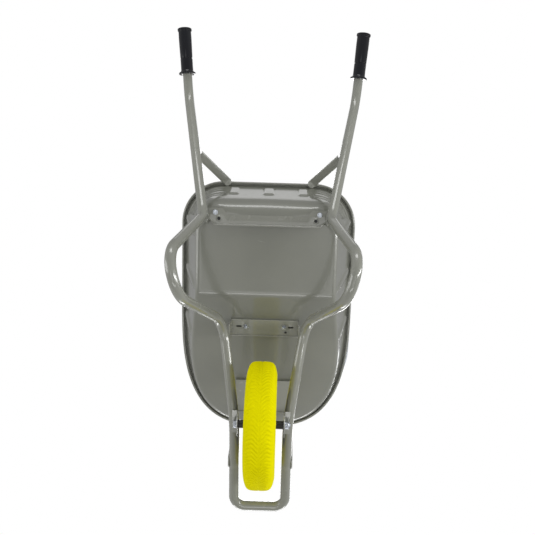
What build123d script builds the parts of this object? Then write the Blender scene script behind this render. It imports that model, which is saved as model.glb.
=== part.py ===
"""Wheelbarrow: bent tube frame, pressed steel tray, one solid-tyred wheel on a bolt axle.

Millimetres.  +Z is up, the ground is Z = 0, the wheel points along -Y, the grips along +Y,
and the barrow is symmetrical about X = 0.  Right-hand pieces stand at +X.
"""
import os
from math import atan, cos, pi, radians, sin, tan

from build123d import *

# ---------------------------------------------------------------- driving dimensions
# wheel
WHEEL_R = 183.0          # outside radius of the tyre
TYRE_HALF_WIDTH = 44.0
CROWN_HALF_WIDTH = 27.0
CROWN_DROP = 2.2         # fall of the crown from its middle to its edge
CROWN_SLOPE = 0.16
TYRE_BULGE_SHARE = 0.55  # height of the tyre's widest place, from rim to crown
BEAD_LEAN = 0.6          # how steeply the side leaves the rim
RIM_SEAT_R = 98.0        # radius of the rim at its outer edges, where the tyre sits
RIM_DROP = 8.0           # how much smaller the rim is at its middle
RIM_HALF_WIDTH = 33.0
RIM_LIP = 9.0            # height of the turned-up lip
RIM_SHEET = 2.0
TYRE_GAP = 0.2           # rim to tyre
RIM_RIVET_COUNT = 6
RIM_RIVET_R = 3.0
RIM_RIVET_PCD_R = 44.0
HUB_TUBE_R = 16.0
HUB_TUBE_WALL = 3.0
HUB_HALF_LENGTH = 36.0
BUSH_FLANGE = 2.5
BUSH_LENGTH = 24.0
BUSH_FLANGE_R = 15.0

# axle
AXLE_R = 6.0
AXLE_RUNNING_GAP = 0.05  # radial clearance of the bushes on the axle
END_FLOAT = 0.5          # gap between each bush and its spacer
SPACER_R = 12.2
AXLE_HEAD_R = 11.0       # across corners
AXLE_HEAD_H = 7.5
AXLE_NUT_H = 10.0
WASHER_R = 12.0
WASHER_T = 2.5
AXLE_THREAD_PAST_NUT = 4.0
TYRE_SIDE_GAP = 23.0     # tyre side to axle bracket
BRACKET_T = 3.0
BRACKET_LENGTH = 68.0
BRACKET_DROP = 17.0      # plate below the axle centre
BRACKET_FLANGE = 18.0    # width of the flange under the tube
HEAD_TO_TUBE = 2.0       # bolt head to the tube above it
TUBE_OVERHANG = 3.0      # how far the tube reaches inside the bracket's inner face

# frame tube, centreline of the right-hand side
TUBE_R = 15.0
TUBE_WALL = 1.5
AXLE_Y = -445.0
NOSE_REACH = 295.0       # axle to the centreline of the nose bar
NOSE_RISE = 51.0         # how far the rails climb from the axle to the nose
NOSE_BEND_R = 36.0
NOSE_JOINT = 150.0       # axle to the butt joint between side tube and nose tube
GRIP_END = (295.0, 748.0, 573.0)
HANDLE_BEND = (278.0, 537.0, 568.0)
KNEE = (190.0, 154.0, 290.0)
FOOT_REAR = (247.0, 72.0)
FOOT_FRONT = (221.0, -41.0)
RAIL_TOP = (125.0, -160.0, 280.0)
HANDLE_BEND_R = 147.0
KNEE_BEND_R = 80.0
FOOT_REAR_BEND_R = 79.0
FOOT_FRONT_BEND_R = 88.0
RAIL_TOP_BEND_R = 80.0
RAIL_LOW_BEND_R = 300.0

# grips
GRIP_LENGTH = 149.0
GRIP_REAR_R = 20.8
GRIP_FRONT_R = 19.6
GRIP_CAP_R = 23.0
GRIP_CAP_T = 6.0
GRIP_COLLAR_R = 27.5
GRIP_COLLAR_T = 5.0
GRIP_GAP = 0.15
GRIP_SEAM = 0.62         # place of the seam groove along the grip
GRIP_SEAM_DEPTH = 0.6
GRIP_SEAM_WIDTH = 1.6

# tray
SHEET = 1.5
TRAY_REAR_Y = 258.0
TRAY_RIM_Z = 520.0       # height of the rim at the rear
TRAY_RIM_SLOPE = 0.05    # rise of the rim per length, towards the front
TRAY_HALF_WIDTH = 289.0
TRAY_LENGTH = 856.0
TRAY_STRAIGHT_SHARE = 0.498  # share of the length behind the curved front
TRAY_FRONT_POWER = 2.8   # squareness of the curved front
TRAY_CORNER_R = 140.0
TRAY_FLOOR_GAP = 23.0    # top of the knee to the underside of the floor
TRAY_SIDE_LEAN = 62.0    # how much narrower each side is at the floor
TRAY_REAR_LEAN = 50.0
TRAY_FLOOR_BEND_Y = -90.0
TRAY_FRONT_WALL = 25.0   # height of wall left above the slope at the front
TRAY_UNDERCUT = 10.0     # how far the tray's blank reaches below its floor before it is cut
FLOOR_BEND_R = 45.0
RIM_FLANGE = 11.0
RIM_LIP_DEPTH = 11.0
RIM_WIRE_R = 3.0

# braces and stays
BRACE_T = 3.0
REAR_BRACE_Y = (125.0, 158.0)
REAR_BRACE_EAR_Y = 177.0
REAR_BRACE_EAR_X = 138.0
REAR_BRACE_LIP = 14.0
REAR_BRACE_HOLE_R = 5.0
REAR_BRACE_HOLE = (147.0, 145.0)
REAR_BOLT = (158.0, 164.0)
FRONT_BRACE_Y = (-227.0, -171.0)
FRONT_BRACE_LIP = 5.0
FRONT_BRACE_SLOT_X = 82.0
FRONT_BRACE_SLOT = (18.0, 7.0)
FRONT_BRACE_HOLE_R = 4.0
FRONT_BRACE_HOLE = (-66.0, -213.0)
FRONT_BOLT = (60.0, -195.0)
ROUTE_TOLERANCE = 1e-6   # share of a tube's length, in finding a place along it
STAY_WIDTH = 25.0
STAY_DEPTH = 7.0
STAY_T = 3.0
STAY_RIM_X = 138.0
STAY_TAB = 22.0
STAY_TUBE_Y = 350.0      # where the rear stays meet the handle tubes
NOSE_PLATE_Y = (-528.0, -398.0)
NOSE_STAY_WIDTH = 32.0
NOSE_STAY_LOW_Y = -588.0
NOSE_STAY_T = 3.5

# tray bolts
TRAY_BOLT_R = 4.0
TRAY_BOLT_HEAD_R = 8.0   # countersunk, flush with the floor
TRAY_BOLT_HEAD_ANGLE = 90.0
TRAY_NUT_R = 6.5
TRAY_NUT_H = 6.5
TRAY_BOLT_PAST_NUT = 3.0
BOLT_HOLE_GAP = 0.4

# ---------------------------------------------------------------- worked-out places
AXLE_Z = WHEEL_R
BRACKET_X = TYRE_HALF_WIDTH + TYRE_SIDE_GAP
RAIL_X = BRACKET_X - TUBE_OVERHANG + TUBE_R
RAIL_Z = AXLE_Z + AXLE_HEAD_R + HEAD_TO_TUBE + TUBE_R
RAIL_LOW = (RAIL_X, AXLE_Y, RAIL_Z)
NOSE = (RAIL_X, AXLE_Y - NOSE_REACH, RAIL_Z + NOSE_RISE)
JOINT_SHARE = NOSE_JOINT / NOSE_REACH
JOINT = (RAIL_X, AXLE_Y - NOSE_JOINT, RAIL_Z + NOSE_RISE * JOINT_SHARE)

FLOOR_Z = KNEE[2] + TUBE_R + TRAY_FLOOR_GAP
RIM_ANGLE = atan(TRAY_RIM_SLOPE)
RIM_PLANE = Plane(
    origin=(0, TRAY_REAR_Y, TRAY_RIM_Z), x_dir=(1, 0, 0), z_dir=(0, sin(RIM_ANGLE), cos(RIM_ANGLE))
)
TRAY_FRONT_Y = TRAY_REAR_Y - TRAY_LENGTH
TRAY_STRAIGHT = TRAY_STRAIGHT_SHARE * TRAY_LENGTH
SLOPE_END_Y = TRAY_FRONT_Y + 2 * RIM_FLANGE
SLOPE_END_Z = TRAY_RIM_Z + TRAY_RIM_SLOPE * (TRAY_REAR_Y - SLOPE_END_Y) - TRAY_FRONT_WALL
SLOPE = (SLOPE_END_Z - FLOOR_Z) / (TRAY_FLOOR_BEND_Y - SLOPE_END_Y)
SLOPE_ANGLE = atan(SLOPE)

HEAD_DEPTH = (TRAY_BOLT_HEAD_R - TRAY_BOLT_R) / tan(radians(TRAY_BOLT_HEAD_ANGLE / 2))
HOLE_DEPTH = 2 * (SHEET + BRACE_T)
TRAY_HOLE = (TRAY_BOLT_R + BOLT_HOLE_GAP, TRAY_BOLT_HEAD_R, HOLE_DEPTH, TRAY_BOLT_HEAD_ANGLE)


def slope_z(y):
    """Height of the underside of the tray's sloping front at a distance along the barrow."""
    return FLOOR_Z + SLOPE * (TRAY_FLOOR_BEND_Y - y)


def slope_plane(x, y):
    """A plane lying on the underside of the sloping front, its normal pointing into the tray."""
    return Plane(
        origin=(x, y, slope_z(y)), x_dir=(1, 0, 0), z_dir=(0, sin(SLOPE_ANGLE), cos(SLOPE_ANGLE))
    )


def handle_point(y):
    """The point of the right handle tube's centreline, on its straight run down to the knee."""
    share = (HANDLE_BEND[1] - y) / (HANDLE_BEND[1] - KNEE[1])
    return tuple(h + share * (k - h) for h, k in zip(HANDLE_BEND, KNEE))


def mirrored(part):
    """The left-hand copy of a right-hand piece."""
    return mirror(part, about=Plane.YZ)


pieces = []


def keep(part, label):
    """Name a finished piece and put it on the list of pieces to write."""
    part.label = label
    pieces.append(part)


# ---------------------------------------------------------------- frame tubes
SIDE_POINTS = [
    GRIP_END,
    HANDLE_BEND,
    KNEE,
    (*FOOT_REAR, TUBE_R),
    (*FOOT_FRONT, TUBE_R),
    RAIL_TOP,
    RAIL_LOW,
    JOINT,
]
SIDE_BENDS = [
    HANDLE_BEND_R,
    KNEE_BEND_R,
    FOOT_REAR_BEND_R,
    FOOT_FRONT_BEND_R,
    RAIL_TOP_BEND_R,
    RAIL_LOW_BEND_R,
]
NOSE_POINTS = [JOINT, NOSE, (-NOSE[0], NOSE[1], NOSE[2]), (-JOINT[0], JOINT[1], JOINT[2])]


def bent_tube(points, bends, bore):
    """A round tube along straight runs joined by tangent bends; a bore of 0 leaves it solid."""
    with BuildPart() as tube:
        with BuildLine() as route:
            FilletPolyline(*points, radius=bends)
        with BuildSketch(route.line ^ 0):
            Circle(TUBE_R)
            if bore > 0:
                Circle(bore, mode=Mode.SUBTRACT)
        sweep()
    return tube.part


side_route = FilletPolyline(*SIDE_POINTS, radius=SIDE_BENDS)
side_tube = bent_tube(SIDE_POINTS, SIDE_BENDS, TUBE_R - TUBE_WALL)
right_core = bent_tube(SIDE_POINTS, SIDE_BENDS, 0)
left_core = mirrored(right_core)
keep(side_tube, "frame_tube_right")
keep(mirrored(side_tube), "frame_tube_left")
keep(bent_tube(NOSE_POINTS, NOSE_BEND_R, TUBE_R - TUBE_WALL), "nose_tube")

# ---------------------------------------------------------------- grips
grip_axis = Vector(*GRIP_END) - Vector(*HANDLE_BEND)
grip_plane = Plane(origin=GRIP_END, x_dir=(1, 0, 0), z_dir=grip_axis)
with BuildPart(grip_plane) as grip:
    with BuildSketch(Plane(grip_plane.origin, grip_plane.x_dir, -grip_plane.y_dir)):
        with BuildLine():
            Polyline(
                (0, -GRIP_GAP - TUBE_WALL + GRIP_CAP_T),
                (0, GRIP_GAP),
                (TUBE_R + GRIP_GAP, GRIP_GAP),
                (TUBE_R + GRIP_GAP, GRIP_CAP_T - GRIP_LENGTH),
                (GRIP_COLLAR_R, GRIP_CAP_T - GRIP_LENGTH),
                (GRIP_COLLAR_R, GRIP_CAP_T - GRIP_LENGTH + GRIP_COLLAR_T),
                (GRIP_FRONT_R, GRIP_CAP_T - GRIP_LENGTH + 2 * GRIP_COLLAR_T),
                (GRIP_REAR_R, -GRIP_CAP_T),
                (GRIP_CAP_R, -GRIP_CAP_T / 2),
                (GRIP_CAP_R, GRIP_CAP_T / 2),
                (GRIP_REAR_R, -GRIP_GAP - TUBE_WALL + GRIP_CAP_T),
                close=True,
            )
        make_face()
    revolve(axis=Axis(grip_plane.origin, grip_axis))
    seam_plane = grip_plane.offset(-GRIP_SEAM * GRIP_LENGTH)
    with BuildSketch(seam_plane):
        Circle(GRIP_CAP_R)
        Circle(GRIP_FRONT_R - GRIP_SEAM_DEPTH, mode=Mode.SUBTRACT)
    extrude(amount=GRIP_SEAM_WIDTH, mode=Mode.SUBTRACT)
keep(grip.part, "grip_right")
keep(mirrored(grip.part), "grip_left")


# ---------------------------------------------------------------- tray
def tray_outline(inset, rear_inset):
    """The tray's closed plan outline, a distance inside the rim; Y = 0 is the rear edge."""
    half = TRAY_HALF_WIDTH - inset
    corner = TRAY_CORNER_R - inset
    rear = -rear_inset
    reach = TRAY_LENGTH - TRAY_STRAIGHT - inset
    steps = 8
    front = []
    for step in range(steps + 1):
        turn = pi * step / steps
        across = abs(cos(turn)) ** (2 / TRAY_FRONT_POWER)
        along = sin(turn) ** (2 / TRAY_FRONT_POWER) if 0 < step < steps else 0
        side = 1 if turn < pi / 2 else -1
        front.append((side * half * across, -TRAY_STRAIGHT - reach * along))
    with BuildLine() as outline:
        Line((-(half - corner), rear), (half - corner, rear))
        CenterArc((half - corner, rear - corner), corner, 0, 90)
        Line((half, rear - corner), front[0])
        Spline(front, tangents=[(0, -1), (0, 1)])
        Line(front[-1], (-half, rear - corner))
        CenterArc((-(half - corner), rear - corner), corner, 90, 90)
    return outline.edges()


def tray_block(wall):
    """The solid that fills the tray, drawn a wall's thickness inside its outer skin."""
    lift = wall / cos(SLOPE_ANGLE)
    inset = RIM_FLANGE + wall
    under = FLOOR_Z - TRAY_UNDERCUT
    deeper = TRAY_UNDERCUT / (TRAY_RIM_Z - FLOOR_Z)
    far_front_y = TRAY_FRONT_Y - RIM_FLANGE
    far_rear_y = TRAY_REAR_Y + RIM_FLANGE
    with BuildPart() as block:
        with BuildSketch(Plane(origin=(0, TRAY_REAR_Y, under))):
            side_inset = inset + TRAY_SIDE_LEAN * (1 + deeper)
            make_face(tray_outline(side_inset, inset + TRAY_REAR_LEAN * (1 + deeper)))
        with BuildSketch(RIM_PLANE):
            make_face(tray_outline(inset, inset))
        loft()
        with BuildSketch(Plane.YZ):
            with BuildLine():
                top = FilletPolyline(
                    (far_rear_y, FLOOR_Z + wall),
                    (TRAY_FLOOR_BEND_Y, FLOOR_Z + wall),
                    (far_front_y, slope_z(far_front_y) + lift),
                    radius=FLOOR_BEND_R - wall,
                )
                below = under - SHEET
                Polyline(top @ 1, (far_front_y, below), (far_rear_y, below), top @ 0)
            make_face()
        extrude(amount=TRAY_HALF_WIDTH, both=True, mode=Mode.SUBTRACT)
    return block.part


rear_bolt_planes = [
    Plane(origin=(side * REAR_BOLT[0], REAR_BOLT[1], FLOOR_Z)) for side in (-1, 1)
]
front_bolt_planes = [slope_plane(side * FRONT_BOLT[0], FRONT_BOLT[1]) for side in (-1, 1)]

with BuildPart() as tray:
    add(tray_block(0))
    add(tray_block(SHEET), mode=Mode.SUBTRACT)
    with BuildSketch(RIM_PLANE):
        make_face(tray_outline(0, 0))
        make_face(tray_outline(RIM_FLANGE + SHEET, RIM_FLANGE + SHEET), mode=Mode.SUBTRACT)
    extrude(amount=-SHEET)
    with BuildSketch(RIM_PLANE):
        make_face(tray_outline(0, 0))
        make_face(tray_outline(SHEET, SHEET), mode=Mode.SUBTRACT)
    extrude(amount=-RIM_LIP_DEPTH)
    for plane in rear_bolt_planes + front_bolt_planes:
        with Locations(plane.offset(SHEET)):
            CounterSinkHole(*TRAY_HOLE)
keep(tray.part, "tray")

wire_inset = SHEET + RIM_WIRE_R
wire_plane = RIM_PLANE.offset(-wire_inset)
wire_route = Wire(tray_outline(wire_inset, wire_inset)).moved(wire_plane.location)
with BuildPart() as rim_wire:
    with BuildSketch(wire_route ^ 0):
        Circle(RIM_WIRE_R)
    sweep(path=wire_route)
keep(rim_wire.part, "rim_wire")

# ---------------------------------------------------------------- cross braces
brace_end_x = KNEE[0] - TUBE_R / 2 + BRACE_T / 2
with BuildPart() as rear_brace:
    with BuildSketch(Plane.XY.offset(FLOOR_Z - BRACE_T)):
        with BuildLine():
            Polyline(
                (-brace_end_x, REAR_BRACE_Y[0]),
                (brace_end_x, REAR_BRACE_Y[0]),
                (brace_end_x, REAR_BRACE_EAR_Y),
                (REAR_BRACE_EAR_X, REAR_BRACE_EAR_Y),
                (REAR_BRACE_EAR_X - (REAR_BRACE_EAR_Y - REAR_BRACE_Y[1]), REAR_BRACE_Y[1]),
                (REAR_BRACE_EAR_Y - REAR_BRACE_Y[1] - REAR_BRACE_EAR_X, REAR_BRACE_Y[1]),
                (-REAR_BRACE_EAR_X, REAR_BRACE_EAR_Y),
                (-brace_end_x, REAR_BRACE_EAR_Y),
                close=True,
            )
        make_face()
    extrude(amount=BRACE_T)
    with BuildSketch(Plane.XY.offset(FLOOR_Z)):
        with Locations((0, REAR_BRACE_Y[0] + BRACE_T / 2)):
            Rectangle(2 * brace_end_x, BRACE_T)
    extrude(amount=-REAR_BRACE_LIP)
    with BuildSketch(Plane.XY.offset(FLOOR_Z)):
        for side in (-1, 1):
            with Locations((side * (KNEE[0] - TUBE_R / 2), KNEE[1])):
                Rectangle(BRACE_T, 2 * (REAR_BRACE_EAR_Y - KNEE[1] - BRACE_T))
    extrude(amount=-(FLOOR_Z - KNEE[2] - TUBE_R / 2))
    with Locations(*[(side * REAR_BRACE_HOLE[0], REAR_BRACE_HOLE[1], FLOOR_Z) for side in (-1, 1)]):
        Cylinder(REAR_BRACE_HOLE_R, 4 * BRACE_T, mode=Mode.SUBTRACT)
    for plane in rear_bolt_planes:
        with Locations(plane.offset(SHEET)):
            CounterSinkHole(*TRAY_HOLE)
    add(right_core, mode=Mode.SUBTRACT)
    add(left_core, mode=Mode.SUBTRACT)
keep(rear_brace.part, "rear_cross_brace")

front_brace_length = (FRONT_BRACE_Y[1] - FRONT_BRACE_Y[0]) / cos(SLOPE_ANGLE)
front_brace_plane = slope_plane(0, sum(FRONT_BRACE_Y) / 2)


def rail_point(y):
    """The point of the right tube's bent centreline at a distance along the barrow."""
    low, high = 0.0, 1.0
    while high - low > ROUTE_TOLERANCE:
        middle = (low + high) / 2
        if side_route.position_at(middle).Y > y:
            low = middle
        else:
            high = middle
    return side_route.position_at(low)


front_leg_x = rail_point(FRONT_BRACE_Y[0]).X - TUBE_R / 2
with BuildPart() as front_brace:
    with BuildSketch(front_brace_plane):
        Rectangle(2 * front_leg_x, front_brace_length)
    extrude(amount=-BRACE_T)
    with BuildSketch(front_brace_plane):
        for end in (-1, 1):
            with Locations((0, end * (front_brace_length - BRACE_T) / 2)):
                Rectangle(2 * front_leg_x, BRACE_T)
    extrude(amount=-FRONT_BRACE_LIP)
    for side in (-1, 1):
        with BuildSketch(Plane.YZ.offset(side * front_leg_x)):
            with BuildLine():
                Polyline(
                    (FRONT_BRACE_Y[0], slope_z(FRONT_BRACE_Y[0])),
                    (FRONT_BRACE_Y[1], slope_z(FRONT_BRACE_Y[1])),
                    (FRONT_BRACE_Y[1], rail_point(FRONT_BRACE_Y[1]).Z),
                    (FRONT_BRACE_Y[0], rail_point(FRONT_BRACE_Y[0]).Z),
                    close=True,
                )
            make_face()
        extrude(amount=-side * BRACE_T)
    for side in (-1, 1):
        with BuildSketch(slope_plane(side * FRONT_BRACE_SLOT_X, FRONT_BOLT[1])):
            SlotOverall(*FRONT_BRACE_SLOT)
        extrude(amount=2 * BRACE_T, both=True, mode=Mode.SUBTRACT)
    for plane in front_bolt_planes:
        with Locations(plane.offset(SHEET)):
            CounterSinkHole(*TRAY_HOLE)
    with Locations(slope_plane(*FRONT_BRACE_HOLE)):
        Cylinder(FRONT_BRACE_HOLE_R, 4 * BRACE_T, mode=Mode.SUBTRACT)
    add(right_core, mode=Mode.SUBTRACT)
    add(left_core, mode=Mode.SUBTRACT)
keep(front_brace.part, "front_cross_brace")

# ---------------------------------------------------------------- stays
stay_foot = handle_point(STAY_TUBE_Y)
tab_plane = RIM_PLANE.offset(-RIM_LIP_DEPTH)
tab_y = STAY_TAB / 2 - RIM_FLANGE
tab_centre = tab_plane.from_local_coords((STAY_RIM_X, tab_y))
stay_axis = Vector(*stay_foot) - tab_centre
with BuildPart() as rear_stay:
    with BuildSketch(tab_plane):
        with Locations((STAY_RIM_X, tab_y)):
            RectangleRounded(STAY_WIDTH, STAY_TAB, STAY_TAB / 4)
    extrude(amount=-STAY_T)
    across = stay_axis.cross(Vector(0, 0, 1))
    with BuildSketch(Plane(origin=tab_centre, x_dir=across, z_dir=stay_axis)):
        Rectangle(STAY_WIDTH, STAY_DEPTH)
        with Locations((0, STAY_T)):
            Rectangle(STAY_WIDTH - 2 * STAY_T, STAY_DEPTH, mode=Mode.SUBTRACT)
    extrude(amount=stay_axis.length)
    split(bisect_by=tab_plane, keep=Keep.BOTTOM)
    add(right_core, mode=Mode.SUBTRACT)
keep(rear_stay.part, "rear_stay_right")
keep(mirrored(rear_stay.part), "rear_stay_left")

nose_stay_x = RAIL_X + TUBE_R
with BuildPart() as nose_plate:
    with BuildSketch(slope_plane(0, sum(NOSE_PLATE_Y) / 2)):
        Rectangle(2 * nose_stay_x, (NOSE_PLATE_Y[1] - NOSE_PLATE_Y[0]) / cos(SLOPE_ANGLE))
    extrude(amount=-BRACE_T)
keep(nose_plate.part, "nose_plate")

with BuildPart() as nose_stay:
    with BuildSketch(Plane.YZ.offset(nose_stay_x)):
        with BuildLine():
            half_stay = NOSE_STAY_WIDTH / 2
            top_y = NOSE_PLATE_Y[0] + half_stay
            Polyline(
                (NOSE_STAY_LOW_Y - half_stay, JOINT[2]),
                (NOSE_STAY_LOW_Y - half_stay / 2, JOINT[2] - TUBE_R / 2),
                (NOSE_STAY_LOW_Y + half_stay, JOINT[2] - TUBE_R / 2),
                (top_y + half_stay, slope_z(top_y + half_stay)),
                (top_y - half_stay, slope_z(top_y - half_stay)),
                close=True,
            )
        make_face()
    extrude(amount=NOSE_STAY_T)
keep(nose_stay.part, "nose_stay_right")
keep(mirrored(nose_stay.part), "nose_stay_left")


# ---------------------------------------------------------------- tray bolts
def bolt_set(planes, grip_length, label):
    """Countersunk bolts through the tray, nuts below; each plane is on the tray's underside."""
    with BuildPart() as bolts:
        for plane in planes:
            with BuildSketch(plane.offset(SHEET)):
                Circle(TRAY_BOLT_HEAD_R)
            with BuildSketch(plane.offset(SHEET - HEAD_DEPTH)):
                Circle(TRAY_BOLT_R)
            loft()
            with BuildSketch(plane.offset(SHEET)):
                Circle(TRAY_BOLT_R)
            extrude(amount=-(SHEET + grip_length + TRAY_NUT_H + TRAY_BOLT_PAST_NUT))
    keep(bolts.part, f"tray_bolts_{label}")
    with BuildPart() as nuts:
        for plane in planes:
            with BuildSketch(plane.offset(-grip_length)):
                RegularPolygon(TRAY_NUT_R, 6)
                Circle(TRAY_BOLT_R, mode=Mode.SUBTRACT)
            extrude(amount=-TRAY_NUT_H)
    keep(nuts.part, f"tray_nuts_{label}")


bolt_set(rear_bolt_planes, BRACE_T, "rear")
bolt_set(front_bolt_planes, BRACE_T, "front")

# ---------------------------------------------------------------- axle
BRACKET_OUTER_X = BRACKET_X + BRACKET_T
rail_turn = atan((RAIL_TOP[2] - RAIL_Z) / (RAIL_TOP[1] - AXLE_Y)) + atan(NOSE_RISE / NOSE_REACH)
rail_lift = RAIL_LOW_BEND_R * (1 / cos(rail_turn / 2) - 1)
bracket_top_z = RAIL_Z + rail_lift - TUBE_R + BRACKET_T / 2
with BuildPart() as bracket:
    with BuildSketch(Plane.XZ.offset(-AXLE_Y - BRACKET_LENGTH / 2)):
        with BuildLine():
            Polyline(
                (BRACKET_X, AXLE_Z - BRACKET_DROP),
                (BRACKET_X + BRACKET_T, AXLE_Z - BRACKET_DROP),
                (BRACKET_X + BRACKET_T, bracket_top_z - BRACKET_T),
                (BRACKET_X + BRACKET_FLANGE, bracket_top_z - BRACKET_T),
                (BRACKET_X + BRACKET_FLANGE, bracket_top_z),
                (BRACKET_X, bracket_top_z),
                close=True,
            )
        make_face()
    extrude(amount=BRACKET_LENGTH)
    low_corners = bracket.edges().filter_by(Axis.X).group_by(Axis.Z)[0]
    fillet(low_corners, radius=BRACKET_DROP / 2)
    with Locations(Location((BRACKET_X, AXLE_Y, AXLE_Z), (0, 90, 0))):
        Cylinder(AXLE_R + BOLT_HOLE_GAP, 4 * BRACKET_T, mode=Mode.SUBTRACT)
    add(right_core, mode=Mode.SUBTRACT)
keep(bracket.part, "axle_bracket_right")
keep(mirrored(bracket.part), "axle_bracket_left")


def axle_plane(x):
    """The plane across the axle at a distance from the middle."""
    return Plane(origin=(x, AXLE_Y, AXLE_Z), x_dir=(0, 1, 0), z_dir=(1, 0, 0))


washer_outer_x = BRACKET_OUTER_X + WASHER_T
with BuildPart() as axle_bolt:
    with BuildSketch(axle_plane(washer_outer_x)):
        RegularPolygon(AXLE_HEAD_R, 6)
    extrude(amount=AXLE_HEAD_H)
    with BuildSketch(axle_plane(washer_outer_x)):
        Circle(AXLE_R)
    extrude(amount=-(2 * washer_outer_x + AXLE_NUT_H + AXLE_THREAD_PAST_NUT))
keep(axle_bolt.part, "axle_bolt")

with BuildPart() as axle_nut:
    with BuildSketch(axle_plane(-washer_outer_x)):
        RegularPolygon(AXLE_HEAD_R, 6)
        Circle(AXLE_R, mode=Mode.SUBTRACT)
    extrude(amount=-AXLE_NUT_H)
keep(axle_nut.part, "axle_nut")

with BuildPart() as axle_washers:
    for side in (-1, 1):
        with BuildSketch(axle_plane(side * BRACKET_OUTER_X)):
            Circle(WASHER_R)
            Circle(AXLE_R, mode=Mode.SUBTRACT)
        extrude(amount=side * WASHER_T)
keep(axle_washers.part, "axle_washers")

spacer_inner_x = HUB_HALF_LENGTH + BUSH_FLANGE + END_FLOAT
with BuildPart() as spacer:
    with BuildSketch(axle_plane(spacer_inner_x)):
        Circle(SPACER_R)
        Circle(AXLE_R, mode=Mode.SUBTRACT)
    extrude(amount=BRACKET_X - spacer_inner_x)
keep(spacer.part, "axle_spacer_right")
keep(mirrored(spacer.part), "axle_spacer_left")

# ---------------------------------------------------------------- wheel
wheel_plane = Plane(origin=(0, AXLE_Y, AXLE_Z), x_dir=(1, 0, 0), z_dir=(0, -1, 0))
wheel_axis = Axis((0, AXLE_Y, AXLE_Z), (1, 0, 0))
rim_middle_r = RIM_SEAT_R - RIM_DROP
bead_heel = (RIM_HALF_WIDTH - TYRE_GAP, RIM_SEAT_R + TYRE_GAP)
bead_top = (RIM_HALF_WIDTH + RIM_SHEET - TYRE_GAP, RIM_SEAT_R + RIM_LIP + TYRE_GAP)
side_bulge = (TYRE_HALF_WIDTH, RIM_SEAT_R + TYRE_BULGE_SHARE * (WHEEL_R - RIM_SEAT_R))
crown_edge = (CROWN_HALF_WIDTH, WHEEL_R - CROWN_DROP)
with BuildPart() as tyre:
    with BuildSketch(wheel_plane):
        with BuildLine():
            Polyline(
                (-bead_top[0], bead_top[1]),
                (-bead_heel[0], bead_heel[1]),
                (0, rim_middle_r + TYRE_GAP),
                bead_heel,
                bead_top,
            )
            ThreePointArc(crown_edge, (0, WHEEL_R), (-crown_edge[0], crown_edge[1]))
            Spline(bead_top, side_bulge, crown_edge, tangents=[(BEAD_LEAN, 1), (-1, CROWN_SLOPE)])
            Spline(
                (-bead_top[0], bead_top[1]),
                (-side_bulge[0], side_bulge[1]),
                (-crown_edge[0], crown_edge[1]),
                tangents=[(-BEAD_LEAN, 1), (1, CROWN_SLOPE)],
            )
        make_face()
    revolve(axis=wheel_axis)
keep(tyre.part, "tyre")

with BuildPart() as rim_half:
    with BuildSketch(wheel_plane):
        with BuildLine():
            Polyline(
                (0, HUB_TUBE_R),
                (RIM_SHEET, HUB_TUBE_R),
                (RIM_SHEET, rim_middle_r - RIM_SHEET),
                (RIM_HALF_WIDTH, RIM_SEAT_R - RIM_SHEET),
                (RIM_HALF_WIDTH + 2 * RIM_SHEET, RIM_SEAT_R + RIM_LIP),
                (RIM_HALF_WIDTH + RIM_SHEET, RIM_SEAT_R + RIM_LIP),
                (RIM_HALF_WIDTH, RIM_SEAT_R),
                (0, rim_middle_r),
                close=True,
            )
        make_face()
    revolve(axis=wheel_axis)
    with BuildSketch(axle_plane(0)):
        with PolarLocations(RIM_RIVET_PCD_R, RIM_RIVET_COUNT):
            Circle(RIM_RIVET_R)
    extrude(amount=RIM_SHEET, mode=Mode.SUBTRACT)
keep(rim_half.part, "rim_half_right")
keep(mirrored(rim_half.part), "rim_half_left")

with BuildPart() as rim_rivets:
    with BuildSketch(axle_plane(-RIM_SHEET)):
        with PolarLocations(RIM_RIVET_PCD_R, RIM_RIVET_COUNT):
            Circle(RIM_RIVET_R)
    extrude(amount=2 * RIM_SHEET)
    for side in (-1, 1):
        with BuildSketch(axle_plane(side * RIM_SHEET)):
            with PolarLocations(RIM_RIVET_PCD_R, RIM_RIVET_COUNT):
                Circle(2 * RIM_RIVET_R)
        extrude(amount=side * RIM_RIVET_R)
keep(rim_rivets.part, "rim_rivets")

hub_bore_r = HUB_TUBE_R - HUB_TUBE_WALL
with BuildPart() as hub_tube:
    with BuildSketch(axle_plane(-HUB_HALF_LENGTH)):
        Circle(HUB_TUBE_R)
        Circle(hub_bore_r, mode=Mode.SUBTRACT)
    extrude(amount=2 * HUB_HALF_LENGTH)
keep(hub_tube.part, "hub_tube")

with BuildPart() as hub_bush:
    with BuildSketch(axle_plane(HUB_HALF_LENGTH - BUSH_LENGTH)):
        Circle(hub_bore_r)
        Circle(AXLE_R + AXLE_RUNNING_GAP, mode=Mode.SUBTRACT)
    extrude(amount=BUSH_LENGTH)
    with BuildSketch(axle_plane(HUB_HALF_LENGTH)):
        Circle(BUSH_FLANGE_R)
        Circle(AXLE_R + AXLE_RUNNING_GAP, mode=Mode.SUBTRACT)
    extrude(amount=BUSH_FLANGE)
keep(hub_bush.part, "hub_bush_right")
keep(mirrored(hub_bush.part), "hub_bush_left")

# ---------------------------------------------------------------- write the pieces
os.makedirs("parts", exist_ok=True)
for piece in pieces:
    export_step(piece, f"parts/{piece.label}.step")
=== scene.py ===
"""Looks of the wheelbarrow: detailed meshes, materials, studio and camera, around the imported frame.

Metres.  +Z is up, the ground is Z = 0, the wheel points along -Y, the grips along +Y.
Right-hand pieces stand at +X.
"""
from math import atan, cos, exp, hypot, pi, radians, sin, tan

import bmesh
import bpy
from mathutils import Matrix, Quaternion, Vector, noise

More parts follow.
